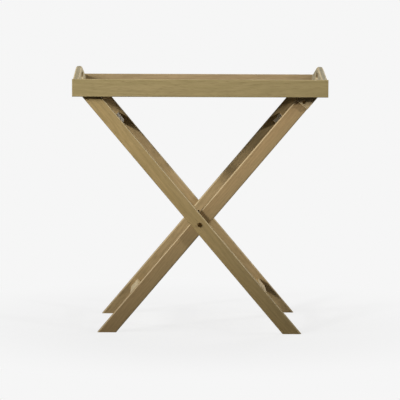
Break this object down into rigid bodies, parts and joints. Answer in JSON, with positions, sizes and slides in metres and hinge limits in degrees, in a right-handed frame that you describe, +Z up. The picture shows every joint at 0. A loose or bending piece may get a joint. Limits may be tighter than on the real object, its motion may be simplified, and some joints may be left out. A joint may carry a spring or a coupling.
{
  "type": "folding tray table",
  "caption": "Wooden tray table: a rimmed rectangular serving tray with crowned, slotted end handles on a folding crossed-leg stand that pivots on bolts.",
  "frame": {"origin": "on the floor, midway between the feet, under the middle of the tray", "axes": "+Z up; +X along the tray from one handle to the other, towards the feet of the outer frame; +Y from front to back across the tray"},
  "size_m": [0.6, 0.4, 0.628],
  "materials": {
    "oiled_wood": "fine straight grain, olive brown, satin oil",
    "dowel_wood": "plain turned beech",
    "dark_steel": "blackened, satin",
    "zinc_steel": "zinc plated"
  },
  "bodies": {
    "outer_frame": {"outer_leg_front": "oiled_wood", "outer_leg_rear": "oiled_wood", "outer_upper_rail": "oiled_wood", "outer_lower_rail": "oiled_wood", "outer_rail_dowels": "dowel_wood", "pivot_spacer_front": "zinc_steel", "pivot_spacer_rear": "zinc_steel"},
    "inner_frame": {"inner_leg_front": "oiled_wood", "inner_leg_rear": "oiled_wood", "inner_upper_rail": "oiled_wood", "inner_lower_rail": "oiled_wood", "inner_rail_dowels": "dowel_wood", "bearer_block_front": "oiled_wood", "bearer_block_rear": "oiled_wood", "bearer_screw_front": "dark_steel", "bearer_screw_rear": "dark_steel", "pivot_bolt_front": "dark_steel", "pivot_bolt_rear": "dark_steel", "pivot_insert_front": "zinc_steel", "pivot_insert_rear": "zinc_steel"},
    "tray": {"tray_front_rail": "oiled_wood", "tray_back_rail": "oiled_wood", "tray_left_end": "oiled_wood", "tray_right_end": "oiled_wood", "tray_floor": "oiled_wood", "tray_corner_dowels": "dowel_wood"}
  },
  "joints": [
    {"name": "tray_lift", "type": "slide", "parent": "outer_frame", "child": "tray", "axis": [0, 0, 1], "range_m": [0, 0.41]},
    {"name": "stand_fold", "type": "hinge", "parent": "outer_frame", "child": "inner_frame", "pos_m": [0, 0, 0.26], "axis": [0, -1, 0], "range_deg": [0, 73.5]}
  ],
  "couplings": [
    {"joint": "stand_fold", "follows": "tray_lift", "rad_per_m": 3.125}
  ]
}
